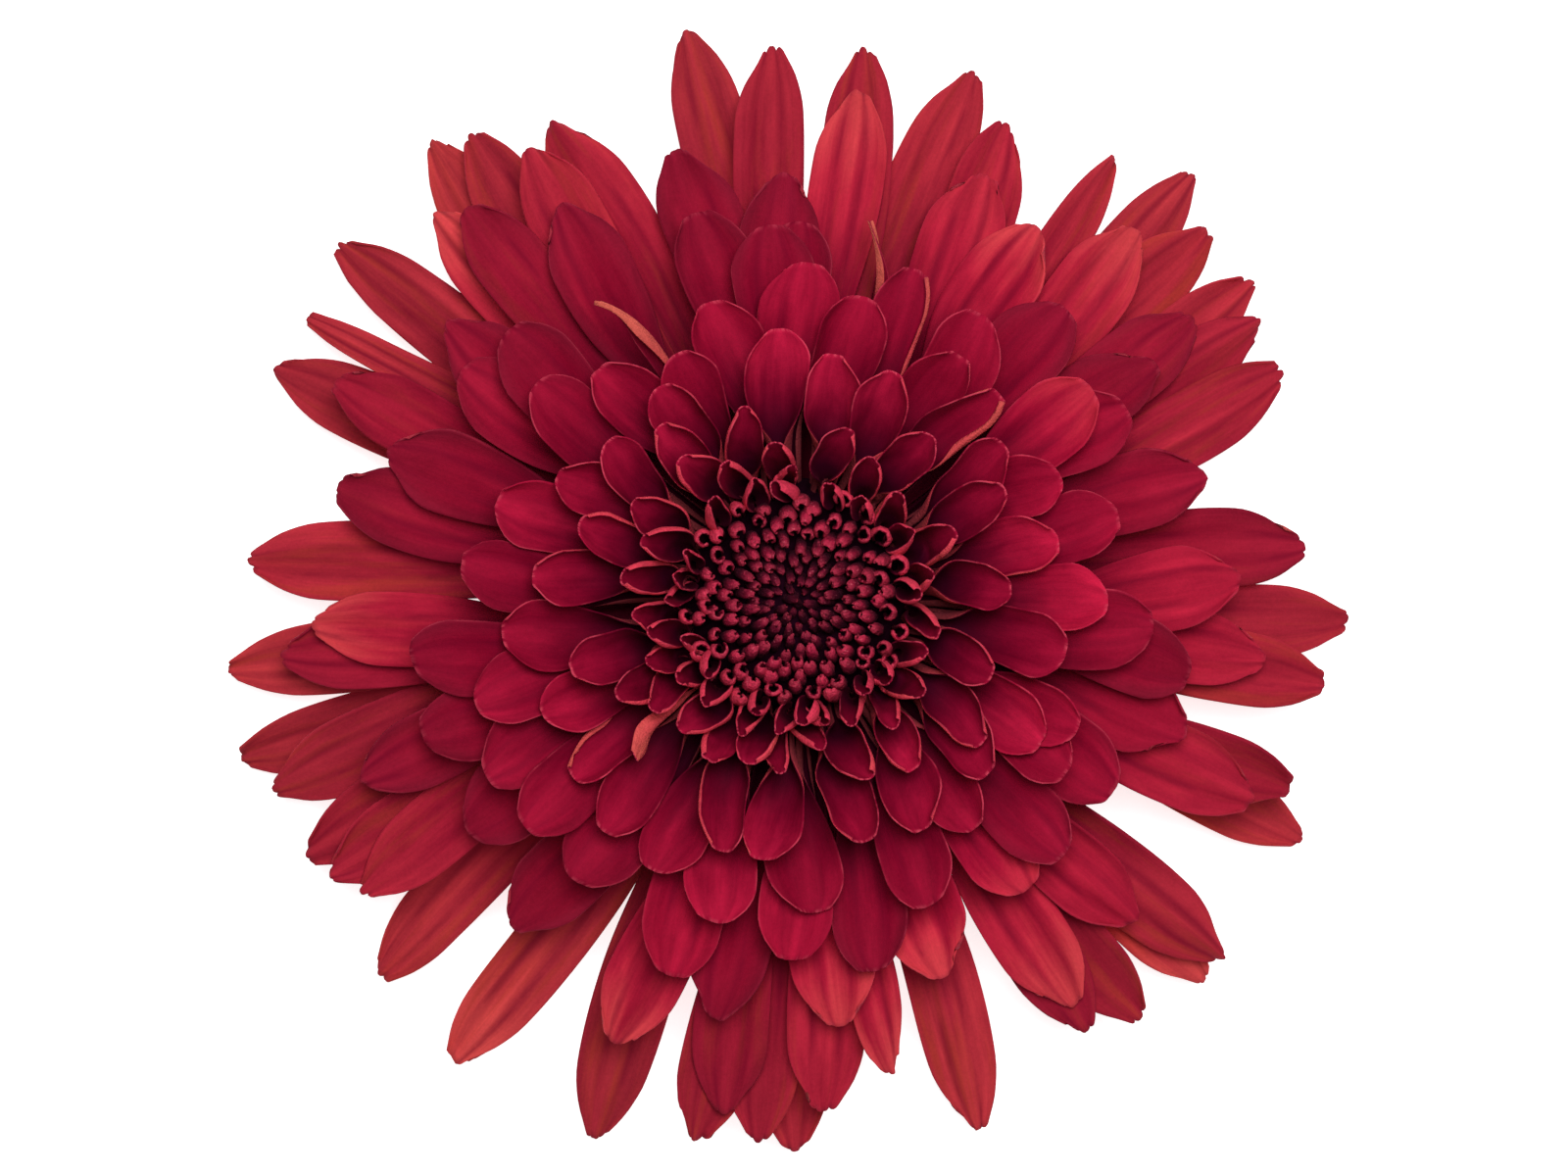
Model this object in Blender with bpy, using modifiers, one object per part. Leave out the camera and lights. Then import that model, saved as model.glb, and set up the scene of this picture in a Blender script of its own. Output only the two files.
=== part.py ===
# A double red chrysanthemum bloom, picked with a short stub of its stalk and lying face up.
# Metres, +Z up. The surface is z = 0 and the flower's axis is vertical. The bloom's outline is
# centred on the origin, so its axis stands a little off it, as its rays are not all one length.
import math
import random

import bmesh
import bpy
from mathutils import Vector

mm = 0.001

# Every length below is in millimetres, every slope in degrees above level.

# Where the flower's axis stands
axis_x = 0.55
axis_y = -0.70

# Stalk: the stub, the receptacle that it swells into, and the bracts that clasp the bloom
stub_radius = 2.3
stub_waist = 3.6
receptacle_radius = 6.6
receptacle_top = 8.6
bract_count = 11
bract_thickness = 0.6
bract_cupping = 17
bract_whorls = (
    # root radius, root height, tip radius, tip height, half width, turn in degrees
    (3.6, 5.6, 9.4, 6.6, 1.5, 0),
    (5.2, 7.2, 12.2, 7.9, 1.7, 14),
)
bract_outline = (0.6, 1.0, 0.2)

# Hidden cores that the florets grow from, stacked with a gap at each joint
joint_gap = 0.3
outer_core_top = 11.0
inner_core_top = 16.0
young_core_top = 19.3

# Florets, counted from the rim to the eye
floret_count = 320
outer_count = 74
opened_count = 201
golden_turn = 137.508
random_seed = 11
clock_spread = 1.5
reach_spread = 0.03
height_spread = 0.3
blade_thickness = 0.62
end_thickness = 0.4
handle_share = 0.38
side_bend = 1.2
ray_roll = 9
tier_step = 1.2

# The longest rays reach the surface with their tips
longest_reach = 40.1
lowest_tip = 0.36

# Rows of points along a ray, as shares of its length: the florets near the eye have fewer
long_rows = (0, 0.32, 0.62, 0.86, 1)
short_rows = (0, 0.48, 0.82, 1)
short_from = 141

# Laying the rays on one another: the size of a cell, the points read along and beside the middle
# of each ray, the gap left, where along the ray it starts, and the most that a ray is lifted
lay_cell = 0.8
lay_rows = 40
lay_sides = 5
lay_gap = 0.1
lay_free = 0.35
lay_most = 2.0
lay_until = 107

# How a floret changes with its order
order_at = (0, 45, 74, 107, 141, 171, 200, 201, 250, 320)
root_reach_at = (7.0, 6.6, 6.2, 5.9, 5.6, 5.3, 5.0, 4.8, 3.4, 0.3)
root_height_at = (9.7, 10.3, 10.8, 12.0, 13.0, 13.6, 14.2, 17.4, 17.2, 16.9)
reach_at = (42.0, 37.0, 30.4, 23.2, 17.0, 12.4, 9.4, 7.2, 5.2, 0.4)
height_at = (2.6, 6.6, 11.2, 15.2, 18.0, 19.6, 20.2, 20.6, 20.2, 18.8)
root_slope_at = (6, 16, 28, 42, 56, 68, 76, 80, 84, 90)
tip_slope_at = (-28, -24, -16, -4, 14, 36, 56, 60, 70, 88)
half_width_at = (2.9, 3.0, 3.2, 3.0, 2.5, 1.9, 1.4, 0.6, 0.54, 0.4)
cupping_at = (4, 7, 13, 21, 33, 51, 65, 80, 80, 80)

# The outline of a ray: half width along its length, as shares of the widest
length_at = (0, 0.22, 0.45, 0.66, 0.86, 1)
rim_outline = (0.14, 0.50, 0.86, 1.0, 0.80, 0.22)
spoon_outline = (0.14, 0.22, 0.48, 0.88, 1.0, 0.42)

# Tips of the rays that show from above, layer by layer from the rim: clock position in degrees
# and reach
rim_layer = (
    (7, 39.3), (18.5, 39.7), (24, 36.9), (36, 38.8), (43, 41.8), (48, 39.5), (55, 39.5), (59, 38.3),
    (65, 38.1), (84, 36.4), (92, 39.5), (99, 38.1), (111, 37.7), (115.5, 40.2), (130, 39.5),
    (133, 39.8), (140.5, 38.5), (146, 36.7), (161, 39.9), (168.5, 34.0), (177, 36.3), (180, 39.3),
    (184, 38.5), (188, 36.8), (190.5, 39.0), (200.5, 41.1), (216.5, 41.3), (228, 40.2), (236, 37.0),
    (239.5, 38.3), (242.5, 39.3), (250, 39.7), (254, 41.3), (263, 40.9), (274, 39.0), (294, 40.8),
    (300, 40.3), (308, 41.3), (317, 37.4), (321.5, 42.0), (325, 40.6), (329.5, 37.1), (333, 38.0),
    (349, 41.5), (357.5, 39.5),
)
second_layer = (
    (7, 36.2), (24, 32.9), (33, 31.2), (42.5, 35.6), (54.5, 34.5), (56.5, 30.3), (73, 30.1),
    (87, 31.3), (97, 33.4), (109, 29.0), (113.5, 35.3), (133.5, 32.9), (145.5, 34.7), (158.5, 28.4),
    (174, 30.1), (191, 29.9), (202.5, 33.8), (221, 30.6), (247.5, 33.1), (264, 36.7), (267, 34.3),
    (284, 33.4), (290, 30.6), (295.5, 36.2), (308.5, 31.3), (320, 36.3), (329, 32.3), (345, 32.9),
    (358.5, 30.0),
)
third_layer = (
    (0.5, 26.4), (1.5, 23.5), (11, 27.0), (20, 24.5), (33.5, 23.7), (42.5, 27.8), (54.5, 25.3),
    (60, 26.7), (75, 23.2), (94.5, 25.0), (100.5, 28.1), (133.5, 25.8), (141.5, 25.9), (156.5, 23.2),
    (181, 25.1), (194, 23.1), (198.5, 27.7), (218.5, 24.9), (230, 24.6), (235, 28.1), (240.5, 24.8),
    (250, 27.8), (252, 23.4), (261.5, 27.2), (276.5, 23.4), (304.5, 28.4), (309.5, 23.5),
    (313, 27.6), (326, 25.0), (345.5, 28.0), (356, 26.2), (121, 26.0), (168, 26.5),
)
fourth_layer = (
    (12.5, 21.6), (9, 17.3), (23, 17.2), (44, 20.1), (65, 20.3), (77, 18.7), (90, 21.7), (101, 19.1),
    (115, 21.5), (120, 19.8), (122, 22.3), (142, 20.2), (151, 18.2), (164, 17.4), (177, 21.8),
    (188, 18.2), (197, 18.2), (208, 21.3), (220, 20.9), (231.5, 19.8), (246, 19.3), (263.5, 20.6),
    (275, 18.4), (288, 21.9), (297.5, 18.7), (309.5, 17.1), (319.5, 21.2), (334, 19.0),
    (343.5, 21.6), (356, 18.9), (34, 20.5), (54, 18.0), (132, 18.0), (327, 17.6),
)
layers = (rim_layer, second_layer, third_layer, fourth_layer)


def start_scene(name):
    for thing in list(bpy.data.objects):
        bpy.data.objects.remove(thing, do_unlink=True)
    bloom = bpy.data.collections.new(name)
    bpy.context.scene.collection.children.link(bloom)
    return bloom


def plain_material(name, colour, roughness):
    material = bpy.data.materials.new(name)
    material.use_nodes = True
    shader = material.node_tree.nodes["Principled BSDF"]
    shader.inputs["Base Color"].default_value = (*colour, 1)
    shader.inputs["Roughness"].default_value = roughness
    material.diffuse_color = (*colour, 1)
    return material


def turned_solid(name, profile, steps, collection):
    """A solid turned about the flower's axis from (radius, height) points, from the top down."""
    bm = bmesh.new()
    points = [bm.verts.new((radius * mm, 0, height * mm)) for radius, height in profile]
    for upper, lower in zip(points, points[1:]):
        bm.edges.new((upper, lower))
    mesh = bpy.data.meshes.new(name)
    bm.to_mesh(mesh)
    bm.free()
    solid = bpy.data.objects.new(name, mesh)
    solid.location = (axis_x * mm, axis_y * mm, 0)
    collection.objects.link(solid)
    screw = solid.modifiers.new("Turn", "SCREW")
    screw.steps = steps
    screw.render_steps = steps
    screw.use_merge_vertices = True
    screw.merge_threshold = 0.00001
    return solid


def along(place, marks, values):
    """The value at a place between marks, each mark having its own value."""
    step = 0
    while place > marks[step + 1]:
        step += 1
    share = (place - marks[step]) / (marks[step + 1] - marks[step])
    return values[step] + (values[step + 1] - values[step]) * share


def table(order, values):
    return along(order, order_at, values)


def florets():
    """Every floret's order, clock position, reach, tip height, sideways bend, roll and lift. The
    rays that show from above take their places in order of reach, and the rest a golden spiral."""
    seen = sorted((tip for layer in layers for tip in layer), key=lambda tip: -tip[1])
    draw = random.Random(random_seed)
    places = []
    for order in range(floret_count):
        sway, lift, bend, roll = (draw.uniform(-1, 1) for _ in range(4))
        clock = order * golden_turn + clock_spread * sway
        reach = table(order, reach_at) * (1 + reach_spread * lift)
        height = table(order, height_at) + height_spread * lift
        if order < len(seen):
            clock, reach = seen[order]
        if reach > longest_reach:
            height = lowest_tip
        places.append((order, math.radians(clock), reach, height, bend, roll, 0))
    return places


def centreline(root, tip, root_slope, tip_slope, share):
    """The point and the direction, as (reach, height), at a share of a cubic curve's length."""
    handle = handle_share * (tip - root).length
    start = root + handle * Vector((math.cos(root_slope), math.sin(root_slope)))
    end = tip - handle * Vector((math.cos(tip_slope), math.sin(tip_slope)))
    rest = 1 - share
    point = rest**3 * root + 3 * rest**2 * share * start + 3 * rest * share**2 * end + share**3 * tip
    way = rest**2 * (start - root) + 2 * rest * share * (end - start) + share**2 * (tip - end)
    return point, way.normalized()


def solid_from(bm, name, collection):
    """Makes an object of a mesh that was built in millimetres about the flower's axis."""
    bmesh.ops.translate(bm, verts=bm.verts, vec=(axis_x, axis_y, 0))
    bmesh.ops.scale(bm, verts=bm.verts, vec=(mm, mm, mm))
    mesh = bpy.data.meshes.new(name)
    bm.to_mesh(mesh)
    bm.free()
    collection.objects.link(bpy.data.objects.new(name, mesh))


def blade(name, rows, thickness, row_at, collection):
    """A leaf-like solid with sharp margins. row_at gives, for a row, the middle of its upper face,
    the ways across and up, its half width and its cupping."""
    bm = bmesh.new()
    bmesh.ops.create_grid(bm, x_segments=rows, y_segments=2, size=0.5)
    bmesh.ops.triangulate(bm, faces=bm.faces[:])
    inner = {}
    for vert in bm.verts:
        row = round((vert.co.x + 0.5) * rows)
        side = round(vert.co.y * 2)
        middle, across, up, half_width, cupping = row_at(row)
        aside = half_width * math.sin(cupping) / cupping * side
        rise = half_width * (1 - math.cos(cupping)) / cupping * abs(side)
        vert.co = middle + across * aside + up * rise
        if side == 0:
            inner[vert] = -up * (thickness if row < rows else end_thickness)
    upper = bm.faces[:]
    copy = bmesh.ops.duplicate(bm, geom=bm.verts[:] + bm.edges[:] + upper)
    for vert, drop in inner.items():
        copy["vert_map"][vert].co += drop
    bmesh.ops.reverse_faces(bm, faces=[copy["face_map"][face] for face in upper])
    bmesh.ops.remove_doubles(bm, verts=bm.verts[:], dist=0.001)
    bmesh.ops.holes_fill(bm, edges=bm.edges[:])
    bmesh.ops.recalc_face_normals(bm, faces=bm.faces[:])
    solid_from(bm, name, collection)


def radial_frame(clock):
    outward = Vector((math.sin(clock), math.cos(clock), 0))
    across = Vector((-math.cos(clock), math.sin(clock), 0))
    return outward, across


def ray_section(place, share):
    """A ray's cross-section at a share of its length: the middle of its upper face, the ways
    across and up, its half width and its cupping."""
    order, clock, reach, height, bend, roll, lift = place
    outward, across = radial_frame(clock)
    raised = tier_step if order >= outer_count else 0
    root = Vector((table(order, root_reach_at), table(order, root_height_at) + raised))
    tip = Vector((reach, height + raised))
    slopes = [math.radians(table(order, values)) for values in (root_slope_at, tip_slope_at)]
    point, way = centreline(root, tip, *slopes, share)
    aside = side_bend * bend * math.sin(math.pi * share)
    middle = outward * point.x + across * aside + Vector((0, 0, point.y + lift * share))
    up = Vector((0, 0, way.x)) - outward * way.y
    turn = math.radians(ray_roll) * roll * share
    flat = across * math.cos(turn) + up * math.sin(turn)
    up = up * math.cos(turn) - across * math.sin(turn)
    spoon = min(order / outer_count, 1)
    as_rim = along(share, length_at, rim_outline)
    as_spoon = along(share, length_at, spoon_outline)
    width_share = as_rim + (as_spoon - as_rim) * spoon
    half_width = table(order, half_width_at) * width_share
    cupping = math.radians(table(order, cupping_at)) * width_share
    return middle, flat, up, half_width, cupping


def lay_rays(places):
    """Lifts each ray just clear of those below it, from the rim inwards, by turning it up about
    its root. The rays already laid are held as the highest point in each cell of a grid."""
    highest = {}
    laid = []
    for place in places[:opened_count]:
        touched = {}
        lift = 0
        for row in range(lay_rows + 1):
            share = row / lay_rows
            middle, flat, up, half_width, cupping = ray_section(place, share)
            for side in range(-lay_sides, lay_sides + 1):
                turn = cupping * side / lay_sides
                point = middle + flat * (half_width / cupping * math.sin(turn))
                point += up * (half_width / cupping * (1 - math.cos(turn)))
                cell = (round(point.x / lay_cell), round(point.y / lay_cell))
                touched[cell] = max(touched.get(cell, (0, 0)), (point.z, share))
                below = point.z - blade_thickness * up.z - lay_gap
                if cell in highest and share > lay_free:
                    lift = max(lift, (highest[cell] - below) / share)
        lift = min(lift, lay_most) if place[0] < lay_until else 0
        for cell, (height, share) in touched.items():
            highest[cell] = max(highest.get(cell, 0), height + lift * share)
        laid.append((*place[:-1], lift))
    return laid + places[opened_count:]


def ray(place, collection):
    """One opened ray floret: a narrow claw that widens into a tongue or a spoon."""
    shares = long_rows if place[0] < short_from else short_rows

    def row_at(row):
        return ray_section(place, shares[row])

    blade("ray", len(shares) - 1, blade_thickness, row_at, collection)


def bract(whorl, number, collection):
    """One green bract, which leaves the receptacle and lies under the rays."""
    root_reach, root_height, tip_reach, tip_height, half_width, turn = whorl
    outward, across = radial_frame(math.radians(360 * number / bract_count + turn))
    rows = len(bract_outline) - 1

    def row_at(row):
        share = row / rows
        reach = root_reach + (tip_reach - root_reach) * share
        height = root_height + (tip_height - root_height) * math.sin(math.pi / 2 * share)
        middle = outward * reach + Vector((0, 0, height))
        width = half_width * bract_outline[row]
        return middle, across, Vector((0, 0, 1)), width, math.radians(bract_cupping)

    blade("bract", rows, bract_thickness, row_at, collection)


def young_floret(place, collection):
    """A floret of the eye, still rolled shut: a bead drawn out along the way it leans."""
    order, clock, reach, height = place[:4]
    outward, _ = radial_frame(clock)
    tip = outward * reach + Vector((0, 0, height))
    root = outward * table(order, root_reach_at) + Vector((0, 0, table(order, root_height_at)))
    length = (tip - root).length
    half_width = table(order, half_width_at)
    bm = bmesh.new()
    bmesh.ops.create_uvsphere(bm, u_segments=4, v_segments=3, radius=1)
    bmesh.ops.scale(bm, verts=bm.verts, vec=(half_width, half_width, length / 2))
    turn = (tip - root).to_track_quat("Z", "Y").to_matrix()
    bmesh.ops.rotate(bm, verts=bm.verts, matrix=turn)
    bmesh.ops.translate(bm, verts=bm.verts, vec=(tip + root) / 2)
    solid_from(bm, "young floret", collection)


def keep_outer_skin(mesh):
    """Drops what the union leaves inside the solid or loose beside it: all but the largest skin."""
    bm = bmesh.new()
    bm.from_mesh(mesh)
    left = set(bm.verts)
    skins = []
    while left:
        skin = set()
        edge_of_skin = [left.pop()]
        while edge_of_skin:
            vert = edge_of_skin.pop()
            skin.add(vert)
            for edge in vert.link_edges:
                other = edge.other_vert(vert)
                if other in left:
                    left.discard(other)
                    edge_of_skin.append(other)
        skins.append(skin)
    skins.sort(key=len)
    bmesh.ops.delete(bm, geom=[vert for skin in skins[:-1] for vert in skin], context="VERTS")
    bm.to_mesh(mesh)
    bm.free()


def grow_together(body, make_repeats):
    """Joins the repeats to the body that they grow from, in one solid."""
    repeats = bpy.data.collections.new(body.name + " repeats")
    bpy.context.scene.collection.children.link(repeats)
    make_repeats(repeats)
    union = body.modifiers.new("Grow together", "BOOLEAN")
    union.operation = "UNION"
    union.operand_type = "COLLECTION"
    union.collection = repeats
    union.solver = "MANIFOLD"
    bpy.context.view_layer.update()
    seen = body.evaluated_get(bpy.context.evaluated_depsgraph_get())
    joined = bpy.data.meshes.new_from_object(seen)
    keep_outer_skin(joined)
    body.modifiers.clear()
    body.data = joined
    for repeat in list(repeats.objects):
        bpy.data.objects.remove(repeat, do_unlink=True)
    bpy.data.collections.remove(repeats)


def finish(body, material):
    body.data.materials.clear()
    body.data.materials.append(material)
    body.data.shade_smooth()
    body.data.set_sharp_from_angle(angle=math.radians(35))


bloom = start_scene("chrysanthemum bloom")
places = lay_rays(florets())

stalk_profile = (
    (0, receptacle_top),
    (receptacle_radius, receptacle_top),
    (receptacle_radius - 0.3, receptacle_top - 1.2),
    (stub_radius + 1.2, stub_waist + 1.2),
    (stub_radius, stub_waist),
    (stub_radius, 0),
    (0, 0),
)
stalk = turned_solid("stalk", stalk_profile, 14, bloom)


def add_bracts(repeats):
    for whorl in bract_whorls:
        for number in range(bract_count):
            bract(whorl, number, repeats)


grow_together(stalk, add_bracts)
finish(stalk, plain_material("stalk green", (0.16, 0.27, 0.07), 0.55))

outer_core = (
    (0, outer_core_top),
    (6.0, outer_core_top),
    (8.4, 10.2),
    (8.0, receptacle_top + joint_gap),
    (0, receptacle_top + joint_gap),
)
outer_rays = turned_solid("outer_rays", outer_core, 12, bloom)


def add_outer_rays(repeats):
    for place in places[:outer_count]:
        ray(place, repeats)


grow_together(outer_rays, add_outer_rays)
finish(outer_rays, plain_material("scarlet petal", (0.55, 0.02, 0.03), 0.6))

# The inner core is a cup: its rim stands round the core of the young florets.
inner_core = (
    (0, inner_core_top),
    (5.0, inner_core_top),
    (7.1, inner_core_top + 2.0),
    (8.8, inner_core_top + 0.6),
    (9.2, 14.2),
    (7.0, outer_core_top + 0.9),
    (6.0, outer_core_top + joint_gap),
    (0, outer_core_top + joint_gap),
)
inner_rays = turned_solid("inner_rays", inner_core, 12, bloom)


def add_inner_rays(repeats):
    for place in places[outer_count:opened_count]:
        ray(place, repeats)


grow_together(inner_rays, add_inner_rays)
finish(inner_rays, plain_material("crimson petal", (0.32, 0.008, 0.03), 0.6))

# The young florets' core is dished, as the eye is.
young_core = (
    (0, young_core_top - 1.4),
    (4.0, young_core_top),
    (6.2, young_core_top - 0.6),
    (4.4, inner_core_top + joint_gap),
    (0, inner_core_top + joint_gap),
)
young_florets = turned_solid("young_florets", young_core, 10, bloom)


def add_young_florets(repeats):
    for place in places[opened_count:]:
        young_floret(place, repeats)


grow_together(young_florets, add_young_florets)
finish(young_florets, plain_material("dark floret", (0.14, 0.004, 0.015), 0.6))
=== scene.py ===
import math
import random

import bmesh
import bpy
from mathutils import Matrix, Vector, noise


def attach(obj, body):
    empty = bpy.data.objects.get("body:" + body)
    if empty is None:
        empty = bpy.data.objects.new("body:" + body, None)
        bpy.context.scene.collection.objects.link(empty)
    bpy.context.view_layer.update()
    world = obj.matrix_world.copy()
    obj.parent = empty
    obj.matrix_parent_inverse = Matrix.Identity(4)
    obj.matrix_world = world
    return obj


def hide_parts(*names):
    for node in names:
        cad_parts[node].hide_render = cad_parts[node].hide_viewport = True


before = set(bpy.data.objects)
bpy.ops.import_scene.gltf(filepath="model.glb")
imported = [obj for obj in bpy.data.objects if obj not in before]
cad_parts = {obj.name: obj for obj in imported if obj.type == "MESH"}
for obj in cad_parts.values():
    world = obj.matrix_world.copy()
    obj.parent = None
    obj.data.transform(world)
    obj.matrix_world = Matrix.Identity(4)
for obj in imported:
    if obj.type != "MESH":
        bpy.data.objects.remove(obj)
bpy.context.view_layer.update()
print("frame loaded:", ", ".join(sorted(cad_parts)))

mm = 0.001

# The plan that the CAD model was grown from, in millimetres and in degrees above level. Florets
# are counted from the rim to the eye, and a clock position runs clockwise from the top.
plan = {
    "axis": (0.55, -0.70),
    "floretCount": 320,
    "outerCount": 74,
    "openedCount": 201,
    "goldenTurn": 137.508,
    "seed": 11,
    "heightSpread": 0.3,
    "bladeThickness": 0.62,
    "handleShare": 0.38,
    "sideBend": 1.2,
    "rayRoll": 9,
    "tierStep": 1.2,
    "longestReach": 40.1,
    "lowestTip": 0.36,
}

# How the rays are laid on one another, from the rim inwards
laying = {
    "cell": 0.8,
    "rows": 40,
    "sides": 5,
    "gap": 0.1,
    "freeShare": 0.35,
    "mostLift": 2.0,
    "untilOrder": 107,
}

# How a ray floret changes with its order
orderAt = (0, 45, 74, 107, 141, 171, 200)
changes = {
    "rootReach": (7.0, 6.6, 6.2, 5.9, 5.6, 5.3, 5.0),
    "rootHeight": (9.7, 10.3, 10.8, 12.0, 13.0, 13.6, 14.2),
    "height": (2.6, 6.6, 11.2, 15.2, 18.0, 19.6, 20.2),
    "rootSlope": (6, 16, 28, 42, 56, 68, 76),
    "tipSlope": (-28, -24, -16, -4, 14, 36, 56),
    "halfWidth": (2.9, 3.0, 3.2, 3.0, 2.5, 1.9, 1.4),
    "cupping": (4, 7, 13, 21, 33, 51, 65),
    # what follows is finer than the CAD model
    "rootOut": (0, 0, 0, 0.4, 1.3, 2.2, 2.6),
    "slimness": (0.93, 0.94, 0.92, 0.86, 0.73, 0.54, 0.46),
    "bladeCup": (6, 9, 22, 48, 72, 92, 112),
    "clawCup": (30, 50, 110, 158, 168, 170, 172),
    "tipCurl": (0, 0.1, 0.5, 1.2, 1.4, 0.8, 0.2),
    "tipTaper": (0, 0, 0, 0.05, 0.6, 0.9, 1),
    "lipRoll": (0, 0, 0, 0, 0.1, 0.3, 0.6),
    "notch": (1, 0.8, 0.25, 0.05, 0, 0, 0),
}

# The outline of a ray: half width along its length, as shares of the widest
lengthAt = (0, 0.22, 0.45, 0.66, 0.86, 1)
rimOutline = (0.14, 0.50, 0.86, 1.0, 0.80, 0.22)
spoonOutline = (0.14, 0.22, 0.48, 0.88, 1.0, 0.42)
bladeAt = (0, 0.22, 0.45, 0.66, 0.86, 0.94, 1)
rimBlade = (0.26, 0.72, 0.94, 1.0, 0.90, 0.66, 0.28)
spoonBlade = (0.16, 0.18, 0.33, 0.84, 0.98, 0.80, 0.46)
cupBlade = (0.22, 0.27, 0.45, 0.88, 0.96, 0.76, 0.45)

# Tips of the rays that show from above, layer by layer from the rim: clock position, reach and,
# where the real ray is plainly dark or light, its step in shades. The step sets how light the ray
# is painted: partly its own colour, partly painted light and shade. The rest fall by chance.
shades = {1: 0.1, 2: 0.3, 3: 0.5, 4: 0.75, 5: 0.95}
rimLayer = (
    (7, 39.3), (18.5, 39.7), (24, 36.9), (36, 38.8), (43, 41.8, 2), (48, 39.5, 3), (55, 39.5, 3),
    (59, 38.3, 2), (65, 38.1, 3), (84, 36.4), (92, 39.5, 2), (99, 38.1, 3), (111, 37.7, 1),
    (115.5, 40.2, 3), (130, 39.5), (133, 39.8, 5), (140.5, 38.5), (146, 36.7), (161, 39.9),
    (168.5, 34.0, 5), (177, 36.3, 4), (180, 39.3, 3), (184, 38.5), (188, 36.8, 1), (190.5, 39.0, 1),
    (200.5, 41.1, 1), (216.5, 41.3, 5), (228, 40.2, 4), (236, 37.0, 4), (239.5, 38.3), (242.5, 39.3),
    (250, 39.7), (254, 41.3), (263, 40.9, 4), (274, 39.0, 4), (294, 40.8), (300, 40.3), (308, 41.3),
    (317, 37.4, 5), (321.5, 42.0, 4), (325, 40.6), (329.5, 37.1), (333, 38.0), (349, 41.5),
    (357.5, 39.5),
)
secondLayer = (
    (7, 36.2, 5), (24, 32.9, 4), (33, 31.2, 5), (42.5, 35.6, 5), (54.5, 34.5, 2), (56.5, 30.3, 1),
    (73, 30.1, 3), (87, 31.3), (97, 33.4, 4), (109, 29.0), (113.5, 35.3, 4), (133.5, 32.9, 4),
    (145.5, 34.7, 5), (158.5, 28.4, 5), (174, 30.1, 5), (191, 29.9, 1), (202.5, 33.8, 5),
    (221, 30.6, 1), (247.5, 33.1, 1), (264, 36.7, 2), (267, 34.3, 5), (284, 33.4, 1), (290, 30.6, 1),
    (295.5, 36.2, 3), (308.5, 31.3, 2), (320, 36.3, 2), (329, 32.3, 2), (345, 32.9, 2), (358.5, 30.0, 1),
)
thirdLayer = (
    (0.5, 26.4, 1), (1.5, 23.5, 4), (11, 27.0), (20, 24.5), (33.5, 23.7, 3), (42.5, 27.8, 2),
    (54.5, 25.3), (60, 26.7, 3), (75, 23.2, 3), (94.5, 25.0), (100.5, 28.1, 1), (133.5, 25.8, 2),
    (141.5, 25.9, 5), (156.5, 23.2, 2), (181, 25.1, 4), (194, 23.1, 4), (198.5, 27.7, 4),
    (218.5, 24.9, 1), (230, 24.6, 3), (235, 28.1, 1), (240.5, 24.8, 2), (250, 27.8, 1),
    (252, 23.4, 3), (261.5, 27.2, 1), (276.5, 23.4, 1), (304.5, 28.4, 3), (309.5, 23.5),
    (313, 27.6, 1), (326, 25.0), (345.5, 28.0, 1), (356, 26.2), (121, 26.0, 3), (168, 26.5, 1),
)
fourthLayer = (
    (12.5, 21.6, 3), (9, 17.3, 4), (23, 17.2, 4), (44, 20.1), (65, 20.3), (77, 18.7), (90, 21.7, 5),
    (101, 19.1), (115, 21.5), (120, 19.8), (122, 22.3, 2), (142, 20.2), (151, 18.2, 2),
    (164, 17.4, 1), (177, 21.8), (188, 18.2), (197, 18.2), (208, 21.3), (220, 20.9, 1),
    (231.5, 19.8), (246, 19.3), (263.5, 20.6), (275, 18.4), (288, 21.9, 3), (297.5, 18.7),
    (309.5, 17.1), (319.5, 21.2, 2), (334, 19.0, 2), (343.5, 21.6, 3), (356, 18.9, 4),
    (34, 20.5, 1), (54, 18.0, 1), (132, 18.0, 1), (327, 17.6, 3),
)
layers = (rimLayer, secondLayer, thirdLayer, fourthLayer)

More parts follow.
